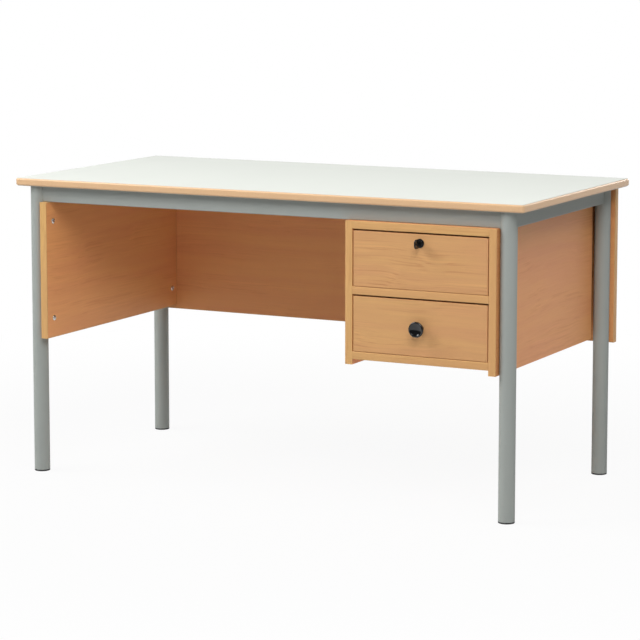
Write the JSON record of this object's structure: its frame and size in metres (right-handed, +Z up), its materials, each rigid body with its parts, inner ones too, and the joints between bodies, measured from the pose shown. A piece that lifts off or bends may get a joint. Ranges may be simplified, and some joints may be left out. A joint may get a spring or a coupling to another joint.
{
  "type": "pedestal desk",
  "caption": "Desk on a tube frame with a pale top, side and modesty panels, and a hung box of drawers with a cam lock and key above and a dished knob below.",
  "frame": {"origin": "on the floor, midway between the four legs", "axes": "+X to the right of a person who sits at the desk, towards the drawers; +Y to the back, towards the modesty panel; +Z up"},
  "size_m": [1.4, 0.724, 0.76],
  "materials": {
    "frame_paint": "satin grey paint",
    "foot_plastic": "moulded black plastic",
    "top_laminate": "pale grey laminate",
    "balancer": "balancing laminate",
    "mdf_edge": "lacquered MDF",
    "beech_panel": "beech veneer, satin lacquer",
    "beech_edging": "beech edging, satin lacquer",
    "drawer_box": "birch plywood",
    "runner_wood": "waxed hardwood",
    "dowel_wood": "beech dowel",
    "hardboard": "hardboard",
    "zinc": "bright zinc plate",
    "lock_black": "black lacquered die casting",
    "lock_steel": "bright steel",
    "black_plastic": "gloss black moulding"
  },
  "bodies": {
    "frame": {"front_left_foot": "foot_plastic", "front_left_leg": "frame_paint", "front_rail": "frame_paint", "front_right_foot": "foot_plastic", "front_right_leg": "frame_paint", "left_rail": "frame_paint", "lower_left_runner": "runner_wood", "lower_right_runner": "runner_wood", "modesty_panel": "beech_panel", "modesty_panel_edging": "beech_edging", "modesty_panel_screws": "zinc", "pedestal_back": "beech_panel", "pedestal_dowels": "dowel_wood", "pedestal_edging": "beech_edging", "pedestal_floor": "beech_panel", "pedestal_left_side": "beech_panel", "pedestal_mid_rail": "beech_panel", "pedestal_rail": "frame_paint", "pedestal_right_side": "beech_panel", "pedestal_screws": "zinc", "pedestal_top": "beech_panel", "rear_left_foot": "foot_plastic", "rear_left_leg": "frame_paint", "rear_rail": "frame_paint", "rear_right_foot": "foot_plastic", "rear_right_leg": "frame_paint", "right_rail": "frame_paint", "runner_screws": "zinc", "side_panel": "beech_panel", "side_panel_edging": "beech_edging", "side_panel_screws": "zinc", "upper_left_runner": "runner_wood", "upper_right_runner": "runner_wood", "worktop_balancer": "balancer", "worktop_core": "mdf_edge", "worktop_laminate": "top_laminate", "worktop_screws": "zinc"},
    "upper_drawer": {"lock_housing": "lock_black", "lock_nut": "zinc", "upper_drawer_back": "drawer_box", "upper_drawer_base": "hardboard", "upper_drawer_dowels": "dowel_wood", "upper_drawer_edging": "beech_edging", "upper_drawer_front": "beech_panel", "upper_drawer_left_side": "drawer_box", "upper_drawer_right_side": "drawer_box"},
    "lower_drawer": {"knob": "black_plastic", "knob_screw": "zinc", "lower_drawer_back": "drawer_box", "lower_drawer_base": "hardboard", "lower_drawer_dowels": "dowel_wood", "lower_drawer_edging": "beech_edging", "lower_drawer_front": "beech_panel", "lower_drawer_left_side": "drawer_box", "lower_drawer_right_side": "drawer_box"},
    "lock": {"cam_screw": "zinc", "lock_barrel": "lock_black", "lock_cam": "zinc"},
    "key": {"key_blade": "lock_steel", "key_bow": "black_plastic"}
  },
  "joints": [
    {"name": "upper_drawer_slide", "type": "slide", "parent": "frame", "child": "upper_drawer", "axis": [0, -1, 0], "range_m": [0, 0.4]},
    {"name": "lower_drawer_slide", "type": "slide", "parent": "frame", "child": "lower_drawer", "axis": [0, -1, 0], "range_m": [0, 0.4]},
    {"name": "lock_turn", "type": "hinge", "parent": "upper_drawer", "child": "lock", "pos_m": [0.4335, -0.331, 0.6555], "axis": [0, 1, 0], "range_deg": [0, 90]},
    {"name": "key_withdraw", "type": "slide", "parent": "lock", "child": "key", "axis": [0, -1, 0], "range_m": [0, 0.019]}
  ]
}
